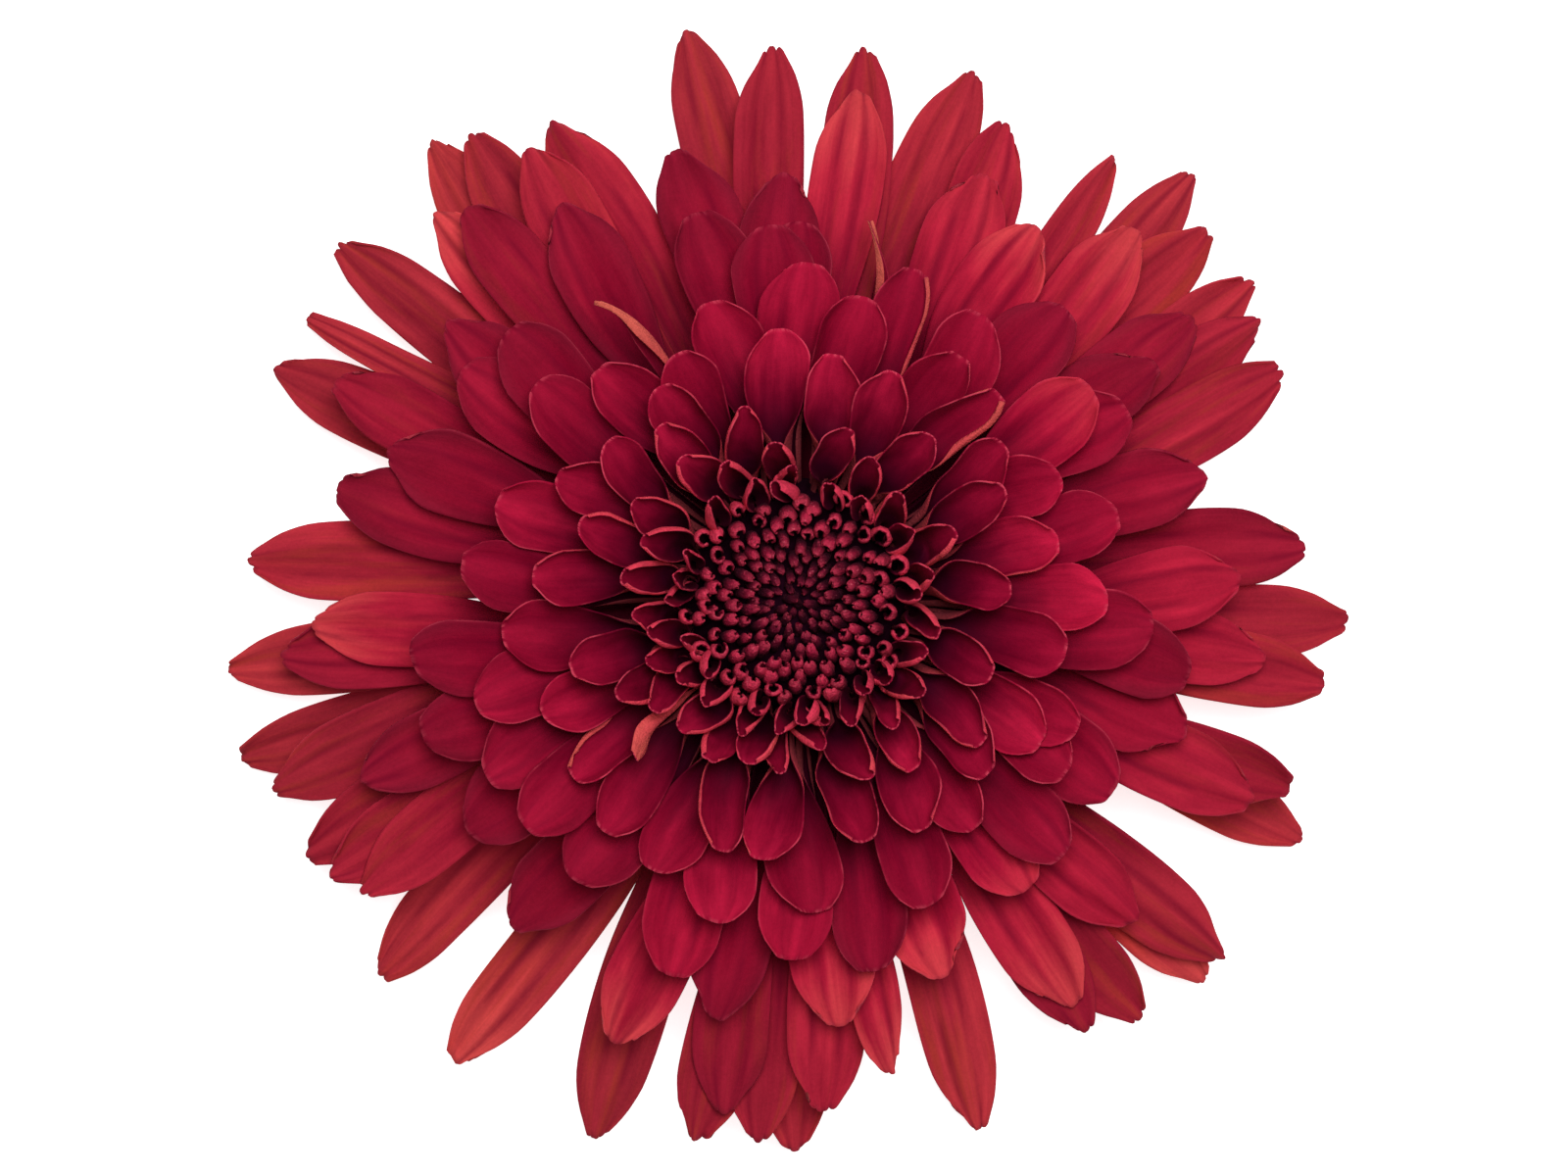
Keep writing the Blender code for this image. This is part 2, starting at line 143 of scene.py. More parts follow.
# The cups round the eye, which are finer than the CAD model: clock position, reach, and how far
# their counter-clockwise and clockwise margins are folded in, in degrees
cupLayer = (
    (40, 14.8, 40, 0), (62, 16.4, 0, 10), (87, 15.0, 0, 0), (111, 14.6, 25, 5), (127, 16.3, 0, 60),
    (145, 14.3, 0, 45), (158, 13.4, 50, 15), (231, 15.6, 0, 0), (242, 14.2, 75, 0),
    (253, 16.4, 5, 0), (289.5, 16.0, 0, 90), (322, 15.4, 35, 0), (301, 13.3, 0, 50),
    (344.5, 13.9, 15, 20), (17.5, 12.5, 5, 20), (28.5, 11.4, 0, 110), (45, 10.5, 75, 0),
    (67, 12.1, 0, 120), (60, 9.8, 0, 95), (78.5, 9.9, 0, 85), (103, 10.4, 65, 30),
    (112, 10.1, 0, 95), (127, 11.1, 20, 25), (142, 11.2, 95, 0), (155.5, 9.6, 60, 20),
    (170, 10.5, 20, 35), (185.5, 12.1, 85, 5), (197, 11.9, 75, 5), (209, 12.8, 0, 125),
    (222, 12.2, 65, 10), (233.5, 12.6, 50, 10), (202.5, 10.2, 0, 105), (221, 9.9, 60, 0),
    (235.5, 10.2, 0, 95), (247, 11.3, 40, 40), (257.5, 10.6, 50, 30), (265, 11.5, 5, 85),
    (278, 12.2, 40, 60), (291, 11.6, 5, 50), (321, 12.8, 85, 5), (333, 11.0, 30, 35),
    (352.5, 11.2, 0, 65), (320, 9.6, 0, 95), (359, 9.5, 30, 40), (188, 9.5, 35, 20), (16, 8.8, 25, 25),
    (32.5, 8.9, 0, 85), (87.5, 9.0, 0, 95), (131.5, 8.9, 70, 40), (167, 9.1, 60, 30),
    (177, 8.8, 40, 60), (340.5, 9.2, 0, 85), (270, 9.2, 50, 50), (281.5, 9.0, 30, 60),
    (250.5, 8.8, 40, 60), (199.5, 8.7, 60, 40), (230, 8.5, 50, 50), (293.5, 8.6, 0, 100),
    (349.5, 8.5, 0, 90), (143, 8.4, 0, 90),
)

# Rays that the plan leaves plain but that stand out on the real bloom, by their tips: narrowed,
# turned on edge, bent aside, paler, or with one margin folded over (counter-clockwise, clockwise)
oddRays = {
    (345.5, 28.0): {"folds": (45, 0)},
    (0.5, 26.4): {"folds": (40, 0)},
    (250, 27.8): {"folds": (60, 0)},
    (11, 27.0): {"narrow": 0.20, "cup": 110, "twist": 70, "aside": 1.6, "hooked": 9, "leaned": 1.05,
                 "raise": 1.0, "pale": 0.75},
    (326, 25.0): {"narrow": 0.23, "cup": 110, "twist": -80, "aside": 4.2, "hooked": 6, "leaned": 0.98,
                  "raise": 1.2, "pale": 0.8},
    (20, 24.5): {"narrow": 0.8, "folds": (0, 160), "twist": 12, "pale": 0.3},
    (7, 36.2): {"aside": 2.4, "leaned": 1.0},
    (44, 20.1): {"folds": (0, 210), "twist": 22, "pale": 0.34},
    (231.5, 19.8): {"folds": (0, 170), "twist": 15, "pale": 0.3},
    (231, 15.6): {"narrow": 0.65, "cup": 60, "twist": 150, "aside": 1.5, "raise": 0.8, "pale": 0.35},
    (220, 20.9): {"folds": (20, 0), "twist": -10},
    (77, 18.7): {"folds": (0, 65)},
    (164, 17.4): {"folds": (0, 75)},
    (197, 18.2): {"folds": (0, 65)},
    (275, 18.4): {"folds": (0, 60)},
    (297.5, 18.7): {"folds": (0, 35)},
    (23, 17.2): {"folds": (0, 30)},
    (300, 40.3): {"narrow": 0.52, "twist": 40},
    (43, 41.8): {"narrow": 0.9, "twist": -10},
    (36, 38.8): {"narrow": 0.65, "twist": 35},
    (55, 39.5): {"narrow": 0.88},
    (59, 38.3): {"narrow": 0.88},
    (168.5, 34.0): {"narrow": 0.75, "twist": -35},
}
stripWidth = 0.5  # a ray that is narrowed to less is a twisted strip, free of its neighbours


# Maths on numbers and sheets

def along(place, marks, values):
    step = 0
    while place > marks[step + 1]:
        step += 1
    share = (place - marks[step]) / (marks[step + 1] - marks[step])
    return values[step] + (values[step + 1] - values[step]) * share


def smoothAlong(place, marks, values):  # the same, on one smooth curve through the values
    step = 0
    while step < len(marks) - 2 and place > marks[step + 1]:
        step += 1
    last = len(marks) - 1

    def slope(mark):
        low, high = max(mark - 1, 0), min(mark + 1, last)
        return (values[high] - values[low]) / (marks[high] - marks[low])

    gap = marks[step + 1] - marks[step]
    share = (place - marks[step]) / gap
    rise = values[step + 1] - values[step]
    start, end = slope(step) * gap, slope(step + 1) * gap
    bend = share * (1 - share)
    return values[step] + rise * share + bend * ((start - rise) * (1 - share) - (end - rise) * share)


def ease(value, start, end):  # 0 before start, 1 after end, smooth between
    share = min(max((value - start) / (end - start), 0), 1)
    return share * share * (3 - 2 * share)


def bell(value, width):  # 1 at 0, falling away on both sides
    return math.exp(-((value / width) ** 2))


def change(order, name):
    return along(order, orderAt, changes[name])


# Where each floret grows

def placeFlorets():
    seen = sorted((tip for layer in layers for tip in layer), key=lambda tip: -tip[1])
    cups = sorted(cupLayer, key=lambda cup: -cup[1])
    draw = random.Random(plan["seed"])
    places = []
    for order, (clock, reach, *more) in enumerate(seen + cups):
        _, lift, bend, roll = (draw.uniform(-1, 1) for _ in range(4))
        height = change(order, "height") + plan["heightSpread"] * lift
        if reach > plan["longestReach"]:
            height = plan["lowestTip"]
        odd = {"folds": more if order >= len(seen) else (0, 0), **oddRays.get((clock, reach), {})}
        places.append(
            {"order": order, "clock": math.radians(clock), "reach": reach, "height": height,
             "bend": bend, "roll": roll, "lift": 0, "rootOut": 0, "odd": odd,
             "strip": odd.get("narrow", 1) < stripWidth,
             "shade": shades[more[0]] if more and order < len(seen) else None}
        )
    return places


def centreline(root, tip, rootSlope, tipSlope, share):
    handle = plan["handleShare"] * (tip - root).length
    start = root + handle * Vector((math.cos(rootSlope), math.sin(rootSlope)))
    end = tip - handle * Vector((math.cos(tipSlope), math.sin(tipSlope)))
    rest = 1 - share
    point = rest**3 * root + 3 * rest**2 * share * start + 3 * rest * share**2 * end + share**3 * tip
    way = rest**2 * (start - root) + 2 * rest * share * (end - start) + share**2 * (tip - end)
    return point, way.normalized()


def radialFrame(clock):
    outward = Vector((math.sin(clock), math.cos(clock), 0))
    across = Vector((-math.cos(clock), math.sin(clock), 0))
    return outward, across


def turned(flat, up, turn):
    return (
        flat * math.cos(turn) + up * math.sin(turn),
        up * math.cos(turn) - flat * math.sin(turn),
    )


def raySpine(place, share):  # the middle of a ray and the ways across it and up from it
    order = place["order"]
    outward, across = radialFrame(place["clock"])
    raised = plan["tierStep"] if order >= plan["outerCount"] else 0
    rootReach = change(order, "rootReach") + place["rootOut"]
    root = Vector((rootReach, change(order, "rootHeight") + raised))
    tip = Vector((place["reach"], place["height"] + raised))
    slopes = [math.radians(change(order, name)) for name in ("rootSlope", "tipSlope")]
    point, way = centreline(root, tip, *slopes, share)
    aside = plan["sideBend"] * place["bend"] * math.sin(math.pi * share)
    middle = outward * point.x + across * aside + Vector((0, 0, point.y + place["lift"] * share))
    up = Vector((0, 0, way.x)) - outward * way.y
    flat, up = turned(across, up, math.radians(plan["rayRoll"]) * place["roll"] * share)
    return middle, flat, up


def solidSection(place, share):  # half width and cupping of the CAD solid's ray
    order = place["order"]
    spoon = min(order / plan["outerCount"], 1)
    asRim, asSpoon = (along(share, lengthAt, line) for line in (rimOutline, spoonOutline))
    widthShare = asRim + (asSpoon - asRim) * spoon
    halfWidth = change(order, "halfWidth") * widthShare
    return halfWidth, math.radians(change(order, "cupping")) * widthShare


def layRays(places):  # lifts each ray just clear of those below it, as the CAD model does
    highest = {}
    for place in places:
        touched = {}
        lift = 0
        for row in range(laying["rows"] + 1):
            share = row / laying["rows"]
            middle, flat, up = raySpine(place, share)
            halfWidth, cupping = solidSection(place, share)
            for side in range(-laying["sides"], laying["sides"] + 1):
                turn = cupping * side / laying["sides"]
                point = middle + flat * (halfWidth / cupping * math.sin(turn))
                point += up * (halfWidth / cupping * (1 - math.cos(turn)))
                cell = (round(point.x / laying["cell"]), round(point.y / laying["cell"]))
                touched[cell] = max(touched.get(cell, (0, 0)), (point.z, share))
                below = point.z - plan["bladeThickness"] * up.z - laying["gap"]
                if cell in highest and share > laying["freeShare"]:
                    lift = max(lift, (highest[cell] - below) / share)
        lift = min(lift, laying["mostLift"]) if place["order"] < laying["untilOrder"] else 0
        for cell, (height, share) in touched.items():
            highest[cell] = max(highest.get(cell, 0), height + lift * share)
        place["lift"] = lift


places = placeFlorets()
layRays(places)
for place in places:
    place["rootOut"] = change(place["order"], "rootOut")
print("ray florets placed:", len(places))


# Petal sheets

folding = {"from": 0.45, "softness": 0.3, "parts": 3}


def tiltAt(station, cup, fold):
    return cup * station + fold * max(0, station - folding["from"]) ** 2 / folding["softness"]


def crossSection(halfWidth, cup, folds, stations):
    # the sheet's place aside, its rise and its tilt at each station, with its margins folded in
    found = {0: (0, 0, 0)}
    parts = folding["parts"]
    for side, fold in ((1, folds[0]), (-1, folds[1])):
        aside = rise = last = 0
        for station in stations:
            step = halfWidth * (station - last) / parts
            for part in range(parts):
                tilt = tiltAt(last + (station - last) * (part + 0.5) / parts, cup, fold)
                aside += math.cos(tilt) * step
                rise += math.sin(tilt) * step
            last = station
            found[side * station] = (side * aside, rise, side * tiltAt(station, cup, fold))
    return found


def sheetSpots(rows, stations, bunched=0.0):  # shares along and across, bunched towards the tip
    alongs = [row / rows + bunched * row / rows * (1 - row / rows) for row in range(rows + 1)]
    acrosses = [-station for station in reversed(stations)] + [0] + list(stations)
    return alongs, acrosses


def addSheet(bm, alongs, acrosses, points, age, chance):
    # one petal sheet. Its UV maps hold where on the petal a corner is, and the petal's age with
    # a number of its own, which is above 1 on a pale petal.
    rows, columns = len(alongs) - 1, len(acrosses) - 1
    petalUV = bm.loops.layers.uv["petalUV"]
    floretUV = bm.loops.layers.uv["floretUV"]
    grid = bmesh.ops.create_grid(bm, x_segments=rows, y_segments=columns, size=0.5)["verts"]
    spots = {}
    for vert in grid:
        row = round((vert.co.x + 0.5) * rows)
        column = round((vert.co.y + 0.5) * columns)
        spots[vert] = (alongs[row], (acrosses[column] + 1) / 2)
        vert.co = points[row][column]
    for face in {face for vert in grid for face in vert.link_faces}:
        face.smooth = True
        for loop in face.loops:
            loop[petalUV].uv = spots[loop.vert]
            loop[floretUV].uv = (age, chance)


# Tucking: each ray is bent down where it would cross one that lies over it

tucking = {
    "cell": 0.5,
    "gap": 0.28,
    "freeShare": (0.22, 0.40),
    "most": 2.6,
    "spread": 0.80,
    "rounds": 7,
    "floor": 0.30,
    "lowest": 0.22,
    "nothingAbove": 99,
}
undersides = {}


def cellOf(point):
    return (round(point.x / tucking["cell"]), round(point.y / tucking["cell"]))


def underside(cell):  # the lowest that is noted above a cell so far
    return undersides.get(cell, tucking["nothingAbove"])


def tuckUnder(points, alongs):
    drops = []
    for u, row in zip(alongs, points):
        share = ease(u, *tucking["freeShare"])
        gaps = [point.z + tucking["gap"] - underside(cellOf(point)) for point in row]
        drops.append([min(max(gap, 0), tucking["most"]) * share for gap in gaps])
    for _ in range(tucking["rounds"]):
        wide = [[0, *row, 0] for row in drops]
        bare = [0] * len(wide[0])
        wide = [bare, *wide, bare]
        drops = [
            [
                max(row[j], tucking["spread"] * max(row[j - 1], row[j + 1], before[j], after[j]))
                for j in range(1, len(row) - 1)
            ]
            for before, row, after in zip(wide, wide[1:], wide[2:])
        ]
    for row, dropRow in zip(points, drops):
        for point, drop in zip(row, dropRow):
            point.z = max(point.z - drop, min(point.z, tucking["floor"]), tucking["lowest"])


def coverBelow(points, thickness):  # notes the underside of a finished ray in the cells it covers
    for lower, upper in zip(points, points[1:]):
        for a, b, c, d in zip(lower, lower[1:], upper, upper[1:]):
            for i in (0, 1 / 3, 2 / 3):
                for j in (0, 0.5):
                    point = a.lerp(b, j).lerp(c.lerp(d, j), i)
                    cell = cellOf(point)
                    undersides[cell] = min(underside(cell), point.z - thickness)


def newPetals():
    bm = bmesh.new()
    bm.loops.layers.uv.new("petalUV")
    bm.loops.layers.uv.new("floretUV")
    return bm


def addObject(name, data):
    made = bpy.data.objects.new(name, data)
    bpy.context.scene.collection.objects.link(made)
    return made


def meshFrom(bm, name, materials):
    mesh = bpy.data.meshes.new(name)
    bm.to_mesh(mesh)
    bm.free()
    for material in materials:
        mesh.materials.append(material)
    return addObject(name, mesh)


def pieceFrom(bm, name, materials, thickness=0):
    # from millimetres about the flower's axis to its place. A sheet that is given a thickness
    # keeps its upper face, and its reverse goes below.
    bmesh.ops.translate(bm, verts=bm.verts, vec=(*plan["axis"], 0))
    bmesh.ops.scale(bm, verts=bm.verts, vec=(mm, mm, mm))
    piece = meshFrom(bm, name, materials)
    if thickness:
        solid = piece.modifiers.new("thickness", "SOLIDIFY")
        solid.thickness = thickness * mm
        solid.offset = -1
        solid.use_even_offset = False
        solid.material_offset = 1
        solid.material_offset_rim = 0
    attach(piece, "root")
    return piece


def noiseSpot(draw):  # a place of its own in the noise
    return Vector((draw.uniform(0, 90), draw.uniform(0, 90), 0))


def rayPoints(place, values, draw):  # the points of an opened ray floret
    order = place["order"]
    odd = place["odd"]
    spoon = min(order / plan["outerCount"], 1)
    taper = change(order, "tipTaper")
    asRay = [rim + (wide - rim) * spoon for rim, wide in zip(rimBlade, spoonBlade)]
    outline = [wide + (deep - wide) * taper for wide, deep in zip(asRay, cupBlade)]
    halfWidth = change(order, "halfWidth") * change(order, "slimness")
    halfWidth *= odd.get("narrow", 1) * draw.uniform(*values["widthSpread"])
    length = place["reach"] - change(order, "rootReach") + values["archLength"]
    bladeCup = odd.get("cup", change(order, "bladeCup") * draw.uniform(*values["cupSpread"]))
    clawCup = max(change(order, "clawCup"), bladeCup)
    inward = ease(order, *values["looseOrders"])
    late = ease(order, *values["lateOrders"])
    opensAt, opensBy = (first + later * late for first, later in values["opens"])
    folds = [draw.uniform(0, values["looseFold"]) * inward + fold for fold in odd["folds"]]
    folds = [math.radians(min(fold, values["mostRolled"] - bladeCup)) for fold in folds]
    sway = math.radians(draw.uniform(-values["sway"], values["sway"]) * inward)
    notch = draw.uniform(*values["notch"]) * change(order, "notch")
    point = draw.uniform(*values["point"])
    uneven = draw.uniform(-values["uneven"], values["uneven"]) * (1 - 0.6 * spoon)
    furrow = values["furrow"] * draw.uniform(*values["furrowSpread"]) * (1 - 0.8 * taper)
    wave = draw.uniform(*values["wave"])
    turns = draw.uniform(*values["waves"])
    phases = (draw.uniform(0, 6.3), draw.uniform(0, 6.3))
    spot = noiseSpot(draw)
    endRound = values["endRound"] * halfWidth * outline[-1] / length
    twist = math.radians(odd.get("twist", 0))
    bow = odd.get("aside", 0)
    raised = odd.get("raise", 0)
    slimTip = values["stripTip"] if place["strip"] else 0
    curl = change(order, "tipCurl") * draw.uniform(*values["curlSpread"])
    lipRoll = change(order, "lipRoll") * draw.uniform(*values["lipSpread"])
    outward = radialFrame(place["clock"])[0]
    alongs, acrosses = sheetSpots(values["rows"], values["stations"], values["bunched"])
    points = []
    for u in alongs:
        width = halfWidth * smoothAlong(u, bladeAt, outline) * (1 - slimTip * ease(u, 0.8, 1))
        cup = math.radians(clawCup + (bladeCup - clawCup) * ease(u, opensAt, opensBy))
        cup *= 1 - 0.15 * ease(u, 0.78, 1)
        width *= cup / math.sin(min(cup, math.pi / 2))
        opened = ease(u, opensAt + 0.12, opensBy + 0.06)
        section = crossSection(width, cup, [fold * opened for fold in folds], values["stations"])
        row = []
        for v in acrosses:
            aside, rise, tilt = section[v]
            curve = abs(v) ** values["roundness"]
            teeth = bell(abs(v) - values["furrowAt"], values["toothWidth"]) * notch
            teeth -= bell(v, values["pointWidth"]) * point
            share = u - u**4 * endRound * (curve + uneven * v * abs(v)) - u**16 * teeth / length
            middle, flat, up = raySpine(place, min(share, 1))
            middle = middle + flat * bow * (u ** odd.get("hooked", 3) - u * odd.get("leaned", 0))
            middle.z += raised * u**3 + curl * ease(u, 0.62, 1.15)
            middle -= outward * (0.8 * lipRoll * ease(u, 0.86, 1.02))
            flat, up = turned(flat, up, sway * ease(u, 0.3, 0.8) + twist * ease(u, 0.35, 0.95))
            normal = up * math.cos(tilt) - flat * math.sin(tilt)
            lines = bell(abs(v) - values["furrowAt"], values["furrowWidth"]) + 0.2 * bell(v, 0.1)
            depth = -furrow * lines * ease(u, 0.12, 0.4) * (1 - 0.6 * ease(u, 0.85, 1))
            ripple = math.sin(turns * math.tau * u + phases[v > 0])
            depth += wave * abs(v) ** 3 * ripple * ease(u, 0.35, 0.75)
            swell = noise.noise(Vector((u * 3, v * 1.1, 0)) + spot)
            depth += values["unevenness"] * swell * ease(u, 0.1, 0.4)
            row.append(middle + flat * aside + up * rise + normal * depth)
        points.append(row)
    return alongs, acrosses, points


def addRays(bm, orders, values):
    for order in orders:
        place = places[order]
        draw = random.Random(values["seed"] + order)
        alongs, acrosses, points = rayPoints(place, values, draw)
        if not place["strip"]:
            tuckUnder(points, alongs)
            coverBelow(points, values["thickness"])
        chance = draw.random()
        if place["shade"] is not None:
            chance = place["shade"] + (chance - 0.5) * values["shadeSpread"]
        if "pale" in place["odd"]:
            chance = 1 + place["odd"]["pale"]
        addSheet(bm, alongs, acrosses, points, order / plan["floretCount"], chance)


# Materials

class Signal:  # a shader socket that Python's operators work on
    def __init__(self, tree, socket=None):
        self.tree = tree
        self.socket = socket

    def node(self, kind, settings, sockets, output=0):  # adds any node
        made = self.tree.nodes.new(kind)
        for name, value in settings.items():
            if name == "stops":
                while len(made.color_ramp.elements) < len(value):
                    made.color_ramp.elements.new(1)
                for element, (position, colour) in zip(made.color_ramp.elements, value):
                    element.position = position
                    element.color = (*colour, 1)
            else:
                setattr(made, name, value)
        self.fill(made, sockets)
        return Signal(self.tree, made.outputs[output])

    def fill(self, made, sockets):  # with values and links
        for name, value in sockets.items():
            if isinstance(value, Signal):
                self.tree.links.new(value.socket, made.inputs[name])
            else:
                made.inputs[name].default_value = value

    def sum(self, operation, first, second=0.0):
        return self.node("ShaderNodeMath", {"operation": operation}, {0: first, 1: second})

    def atMost(self, other):
        return self.sum("MINIMUM", self, other)

    def orMore(self, other):
        return self.sum("MAXIMUM", self, other)

    def __add__(self, other):
        return self.sum("ADD", self, other)

    __radd__ = __add__

    def __mul__(self, other):
        return self.sum("MULTIPLY", self, other)

    __rmul__ = __mul__

    def __sub__(self, other):
        return self.sum("SUBTRACT", self, other)

    def __rsub__(self, other):
        return self.sum("SUBTRACT", other, self)

    def __pow__(self, other):
        return self.sum("POWER", self, other)

    def __abs__(self):
        return self.sum("ABSOLUTE", self)

    def ramp(self, low, high):  # 0 below low, 1 above high, smooth between
        return self.node(
            "ShaderNodeMapRange", {"interpolation_type": "SMOOTHSTEP"},
            {"Value": self, "From Min": low, "From Max": high},
        )

    def line(self, centre, width):  # 1 at the centre, 0 beyond the width
        return 1 - abs(self - centre).ramp(0, width)

    def paint(self, under, over):  # this signal is the factor
        under, over = (
            colour if isinstance(colour, Signal) else (*colour, 1) for colour in (under, over)
        )
        return self.node(
            "ShaderNodeMix", {"data_type": "RGBA"}, {0: self, 6: under, 7: over}, output=2
        )

    def tint(self, colour):  # this signal is how light the colour becomes
        return self.node(
            "ShaderNodeVectorMath", {"operation": "SCALE"}, {0: colour, "Scale": self}
        )

    def bump(self, strength, distance):  # this signal is the height
        return self.node(
            "ShaderNodeBump", {}, {"Height": self, "Strength": strength, "Distance": distance}
        )

    def noise(self, scale, detail=3.0, roughness=0.55):  # this signal is the place
        return self.node(
            "ShaderNodeTexNoise", {},
            {"Vector": self, "Scale": scale, "Detail": detail, "Roughness": roughness},
        )


def startMaterial(name):
    material = bpy.data.materials.new(name)
    material.use_nodes = True
    tree = material.node_tree
    return material, tree.nodes["Principled BSDF"], Signal(tree)


def objectPlace(signal):
    return signal.node("ShaderNodeTexCoord", {}, {}, output=3)


def petalPlaces(signal):  # along and across the petal, its age and its own number
    spot = signal.node("ShaderNodeUVMap", {"uv_map": "petalUV"}, {})
    floret = signal.node("ShaderNodeUVMap", {"uv_map": "floretUV"}, {})
    return [
        signal.node("ShaderNodeSeparateXYZ", {}, {"Vector": source}, output)
        for source, output in ((spot, 0), (spot, 1), (floret, 0), (floret, 1))
    ]


def streaks(u, v, chance, lengthwise, crosswise):  # noise drawn out along the petal
    place = u.node(
        "ShaderNodeCombineXYZ", {}, {"X": u * lengthwise, "Y": v * crosswise, "Z": chance * 60}
    )
    return place.noise(1.0, 4.0, 0.6)


petalFace = {
    # by age the face darkens from the rim towards the eye: partly the inner petals' own deeper crimson,
    # partly painted shade of the deeper layers
    "ages": (
        (0.0, (0.33, 0.015, 0.035)),
        (0.14, (0.29, 0.0040, 0.0265)),
        (0.24, (0.25, 0.0010, 0.0210)),
        (0.34, (0.23, 0.0007, 0.0200)),
        (0.45, (0.21, 0.0006, 0.020)),
        (0.56, (0.15, 0.0005, 0.014)),
        (1.0, (0.12, 0.0004, 0.012)),
    ),
    "litAges": (
        (0.0, (0.50, 0.046, 0.044)),
        (0.14, (0.47, 0.021, 0.042)),
        (0.26, (0.50, 0.009, 0.043)),
        (0.40, (0.53, 0.011, 0.052)),
        (0.60, (0.29, 0.004, 0.034)),
    ),
    # the dark throat colour, which also serves as painted shade at the base of each ray
    "throatAndShade": (0.020, 0.0005, 0.0074),
    # painted shade along the furrows
    "furrow": (0.14, 0.0012, 0.016),
    # the paler margins, with a painted highlight on them
    "margin": (0.72, 0.072, 0.125),
    # painted highlight: the lit coral tips
    "tipHighlight": (0.62, 0.074, 0.068),
    "warm": (0.37, 0.036, 0.022),
    "dusk": (0.185, 0.007, 0.023),
    "streaks": {
        "fine": (3.0, 34.0), "broad": (1.6, 3.2), "patches": (5.0, 3.0), "warm": (2.2, 3.6),
        "edges": (7.0, 7.0),
    },
    "speckle": 4200.0,
    "grain": 9000.0,
    "bump": (0.3, 0.00012),
    "roughness": (0.52, 0.25),
}


def petalFaceMaterial(look):
    material, shader, signal = startMaterial("petal face")
    u, v, age, chance = petalPlaces(signal)
    aside = abs(v * 2 - 1)
    place = objectPlace(signal)
    speckle = place.noise(look["speckle"], 4.0, 0.7)
    fine = streaks(u, v, chance, *look["streaks"]["fine"])
    broad = streaks(u, v, chance, *look["streaks"]["broad"])
    patches = streaks(u, v, chance + 7, *look["streaks"]["patches"])
    # colour by age, darker towards the eye, partly as painted shade of the deeper layers
    colour = age.node("ShaderNodeValToRGB", {"stops": look["ages"]}, {"Fac": age})
    litColour = age.node("ShaderNodeValToRGB", {"stops": look["litAges"]}, {"Fac": age})
    same = 1 - chance.ramp(1.02, 1.06)  # not on the pale rays
    # how light the ray is painted: partly its own colour, partly the light and shade that fall on it. It
    # drives the painted light below.
    bright = chance.ramp(0.25, 0.95) * same
    lit = (u + (broad - 0.5) * 0.8).ramp(0.45, 1.0) * (bright * 0.5 + 0.4) * (patches * 1.2 + 0.25)
    lit = lit * (1 - age.ramp(0.46, 0.60) * 0.6)
    colour = lit.atMost(1.0).paint(colour, litColour)
    # A painted highlight: lighter coral tips on the lightest rays of the outer layers, where the light
    # catches them.
    tipHighlight = (u + (broad - 0.5) * 0.5).ramp(0.80, 1.04)
    tipHighlight = tipHighlight * bright.ramp(0.8, 1.0) * (1 - age.ramp(0.20, 0.36))
    colour = (tipHighlight * 0.5).paint(colour, look["tipHighlight"])
    warm = streaks(u, v, chance + 11, *look["streaks"]["warm"])
    warm = warm.ramp(0.48, 0.70) * (1 - age.ramp(0.06, 0.22))
    colour = (warm * 0.6).paint(colour, look["warm"])
    hem = (aside.ramp(0.45, 1.0) + (u + (broad - 0.5) * 0.3).ramp(0.72, 1.02)) * age.ramp(0.06, 0.2)
    hem = hem * (1.1 - bright) * (1 - age.ramp(0.21, 0.40) * 0.85) * 0.5
    colour = hem.atMost(0.8).paint(colour, look["dusk"])
    tone = (fine - 0.5) * 0.28 + (broad - 0.5) * 0.75 + (patches - 0.5) * 0.65 + (speckle - 0.5) * 0.45
    tone = tone + (chance - 0.5) * 0.22 * same + 1.02
    colour = tone.tint(colour)
    # Painted shade: darker lines along the two furrows of each ray, mostly on the outer rays.
    lines = (aside + (broad - 0.5) * 0.22).line(0.36, 0.22)
    creaseShade = lines * (1 - age.ramp(0.2, 0.5)) * patches.ramp(0.34, 0.62) * u.ramp(0.1, 0.4) * 0.6
    colour = creaseShade.paint(colour, look["furrow"])
    # Darker towards each ray's base and inside the cups: partly the petals' own dark throat, partly
    # painted shade where the rays above cover them.
    deep = 1 - (u - age.ramp(0.06, 0.32) * 0.25).ramp(0.10, 0.76)
    deep = deep * (age.ramp(0.0, 0.26) * 0.30 + 0.66)
    deep = deep + (1 - u.ramp(0.6, 1.0)) * age.ramp(0.36, 0.60) * 0.25
    colour = deep.atMost(0.93).paint(colour, look["throatAndShade"])
    # Paler margins and tip edges: partly the petals' own paler margins, partly a painted highlight where
    # the light catches the lips and edges.
    edges = (aside.ramp(0.965, 0.995) * u.ramp(0.60, 0.92)).orMore(u.ramp(0.982, 0.999))
    broken = streaks(u, v, chance, *look["streaks"]["edges"]).ramp(0.42, 0.62)
    edges = edges * (age.ramp(0.10, 0.50) * 0.72 + 0.04) * broken
    colour = edges.paint(colour, look["margin"])
    grain = place.noise(look["grain"], 2.0)
    base, grainy = look["roughness"]
    signal.fill(shader, {
        "Base Color": colour, "Roughness": base + grain * grainy,
        "Normal": (fine * 0.4 + grain * 0.4).bump(*look["bump"]),
        "Specular IOR Level": 0.02, "Sheen Weight": 0.04, "Sheen Roughness": 0.4,
        "Sheen Tint": (1.0, 0.12, 0.22, 1),
    })
    return material


